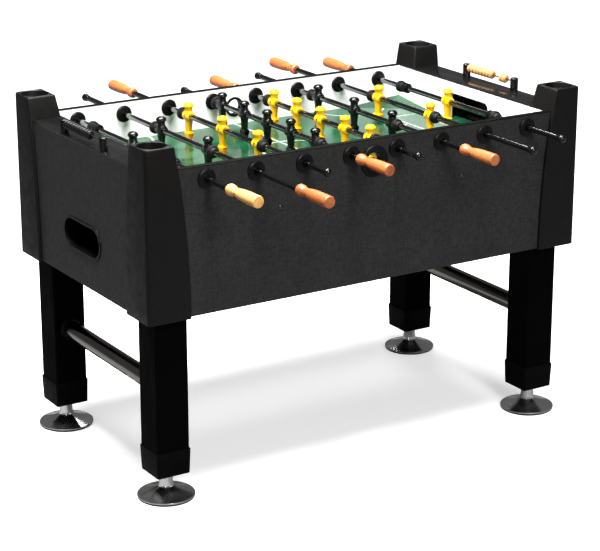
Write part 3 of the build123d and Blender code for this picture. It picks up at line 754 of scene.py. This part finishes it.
def merged(name, mesh, places, mat, body):
    """Copies of one mesh at several places, as one piece."""
    bm = bmesh.new()
    for place in places:
        start = len(bm.verts)
        bm.from_mesh(mesh)
        bm.verts.ensure_lookup_table()
        bmesh.ops.translate(bm, verts=bm.verts[start:], vec=Vector(place) * MM)
    made = bpy.data.meshes.new(name)
    bm.to_mesh(made)
    bm.free()
    return add_piece(name, made, mat, body, 42.0)


def build_rod(index):
    """Everything on one rod; the bumpers slide with it, the rest also turns with it."""
    name = f"rod{index + 1}"
    slide = name + "_slide"
    spin = name + "_spin"
    x = ROD_XS[index]
    count = ROD_PLAYERS[index]
    side = HANDLE_SIDE[index]
    shift = ROD_SHIFT[index]
    travel = HALF_TRAVEL[count]
    tip = shift - side * (SIDE_OUTER + CAP_CLEAR + travel)
    grip = shift + side * (SIDE_OUTER + GRIP_CLEAR + travel)

    low, high = sorted((tip + side * 8, grip + side * 20))
    tube = turned_piece(name + "_tube", ROD_CHROME, spin,
                        [(low, ROD_RADIUS), (high, ROD_RADIUS)], [((x, 0, ROD_Z), 1)], "Y", 40)
    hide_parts(name + "_shaft")
    turned_piece(name + "_end_cap", PLAYER_BLACK, spin,
                 [(0, 0), (0.3, 2.8), (1.4, 5.8), (3.4, 8.6), (6.4, 10.7), (10.0, 11.5), (13.6, 11.1),
                  (16.6, 9.8), (18.4, 9.1), (28.4, 9.0), (29.6, 8.7), (30, 7.9)],
                 [((x, tip, ROD_Z), side)], "Y", 32, 50.0)
    if count == 1:
        turned_piece(name + "_stop_collars", BUSHING_BLACK, spin,
                     [(-COLLAR_HALF, 8.0), (-COLLAR_HALF, 13.4), (-8.6, 15), (-4.5, 15), (-3.2, 12.4),
                      (3.2, 12.4), (4.5, 15), (8.6, 15), (COLLAR_HALF, 13.4), (COLLAR_HALF, 8.0)],
                     [((x, shift + place, ROD_Z), 1) for place in (-COLLAR_Y, COLLAR_Y)], "Y", 32, 30.0)

    reach = PLAYER_PITCH[count] * (count - 1) / 2
    places = [(x, shift - reach + k * PLAYER_PITCH[count], ROD_Z) for k in range(count)]
    black = index in BLACK_RODS
    men = merged(name + "_men", PLAYER, places, PLAYER_BLACK if black else PLAYER_YELLOW, spin)
    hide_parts(name + "_players")
    merged(name + "_men_screws", PLAYER_SCREW, places, DARK_STEEL, spin)

    handle = turned_piece(name + "_grip", PALE_WOOD if index == 0 else HANDLE_WOOD, spin,
                          GRIP, [((x, grip, ROD_Z), side)], "Y", 48, 50.0)
    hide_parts(name + "_handle")
    turned_piece(name + "_grip_screw", DARK_STEEL, spin,
                 [(11.2, 2.4), (13.2, 2.4), (13.4, 2.0), (12.6, 1.6), (12.6, 0)],
                 [((x, grip + side * GRIP_SCREW, ROD_Z), -1)], "X", 16)

    stop = COLLAR_Y + COLLAR_HALF if count == 1 else reach + HUB_HALF
    starts = (shift - stop - BUMPER_GAP, shift + stop + BUMPER_GAP + BUMPER_LENGTH)
    bumper = turned_piece(name + "_rubber_bumpers", RUBBER, slide,
                          [(0, 8.0), (0, 15.4), (0.8, 16.8), (2.2, 17.5), (9.8, 17.5), (11.4, 16.9),
                           (12.2, 15.2), (12.8, 13.2), (14.0, 12.8), (21.8, 12.8), (23.2, 12.2),
                           (BUMPER_LENGTH, 10.8), (BUMPER_LENGTH, 8.0)],
                          [((x, start, ROD_Z), -1) for start in starts], "Y", 36, 40.0)
    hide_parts(name + "_bumpers")


for rod_index in range(len(ROD_PLAYERS)):
    build_rod(rod_index)
bpy.data.meshes.remove(PLAYER)
bpy.data.meshes.remove(PLAYER_SCREW)


# ---- stage ---------------------------------------------------------------------------


def stage_material():
    """Pale paper that the camera sees bright, and that throws only a little light back on the object."""
    mat, tree, shader = new_material("pale_paper")
    tone = noise(tree, coordinates(tree), 1.5, 2.0)
    tree.links.new(ramp(tree, tone, [(0.3, grey(0.88)), (0.7, grey(0.9))]), shader.inputs["Base Color"])
    shader.inputs["Roughness"].default_value = 0.9
    shader.inputs["Specular IOR Level"].default_value = 0.0
    shader.inputs["Emission Color"].default_value = (1, 1, 1, 1)
    shader.inputs["Emission Strength"].default_value = 0.42
    soft = tree.nodes.new("ShaderNodeBsdfDiffuse")
    soft.inputs["Color"].default_value = (*grey(0.2), 1)
    path = tree.nodes.new("ShaderNodeLightPath")
    mix = tree.nodes.new("ShaderNodeMixShader")
    tree.links.new(path.outputs["Is Camera Ray"], mix.inputs["Fac"])
    tree.links.new(soft.outputs["BSDF"], mix.inputs[1])
    tree.links.new(shader.outputs["BSDF"], mix.inputs[2])
    tree.links.new(mix.outputs["Shader"], tree.nodes["Material Output"].inputs["Surface"])
    return mat


floor_mesh = bpy.data.meshes.new("studio_floor")
floor_mesh.from_pydata([(-30, -30, 0), (30, -30, 0), (30, 30, 0), (-30, 30, 0)], [], [(0, 1, 2, 3)])
floor_mesh.materials.append(stage_material())
floor = bpy.data.objects.new("studio_floor", floor_mesh)
bpy.context.scene.collection.objects.link(floor)


def area_light(name, place, target, size, power):
    light = bpy.data.lights.new(name, "AREA")
    light.shape = "RECTANGLE"
    light.size, light.size_y = size
    light.energy = power
    obj = bpy.data.objects.new(name, light)
    obj.location = place
    obj.rotation_euler = (Vector(target) - Vector(place)).to_track_quat("-Z", "Y").to_euler()
    bpy.context.scene.collection.objects.link(obj)


area_light("key", (-0.8, -4.2, 3.2), (0.1, 0, 0.7), (1.3, 1.0), 150)
area_light("overhead", (-0.5, 0.1, 3.0), (0.1, 0, 0.8), (0.5, 2.0), 270)
area_light("back", (1.6, 2.9, 4.4), (0, 0, 0.6), (1.6, 0.8), 60)
area_light("strip_left", (-2.2, -2.6, 0.7), (0, -0.2, 0.2), (0.05, 1.2), 2.2)
area_light("strip_right", (2.4, -3.0, 0.7), (0.2, -0.2, 0.2), (0.05, 1.2), 2.2)
sun_data = bpy.data.lights.new("sun", "SUN")
sun_data.energy = 2.7
sun_data.angle = math.radians(14)
sun = bpy.data.objects.new("sun", sun_data)
sun.rotation_euler = (math.radians(14), math.radians(-2), 0)
bpy.context.scene.collection.objects.link(sun)

world = bpy.data.worlds.new("studio")
world.use_nodes = True
backdrop = world.node_tree
sky = backdrop.nodes["Background"]
sky.inputs["Color"].default_value = (1, 1, 1, 1)
seen = backdrop.nodes.new("ShaderNodeLightPath")
level = backdrop.nodes.new("ShaderNodeMapRange")
level.inputs["To Min"].default_value = 0.1
level.inputs["To Max"].default_value = 1.0
backdrop.links.new(seen.outputs["Is Camera Ray"], level.inputs["Value"])
backdrop.links.new(level.outputs["Result"], sky.inputs["Strength"])
bpy.context.scene.world = world

camera_data = bpy.data.cameras.new("camera")
camera_data.lens = CAMERA_LENS
camera_data.sensor_width = 36.0
camera_data.clip_start = 0.1
camera_data.clip_end = 100.0
camera = bpy.data.objects.new("camera", camera_data)
camera.location = CAMERA_PLACE
camera.rotation_euler = (math.radians(90 - CAMERA_PITCH), 0, math.radians(-CAMERA_YAW))
bpy.context.scene.collection.objects.link(camera)
bpy.context.scene.camera = camera
bpy.context.scene.view_settings.view_transform = "Standard"
bpy.context.scene.view_settings.look = "None"
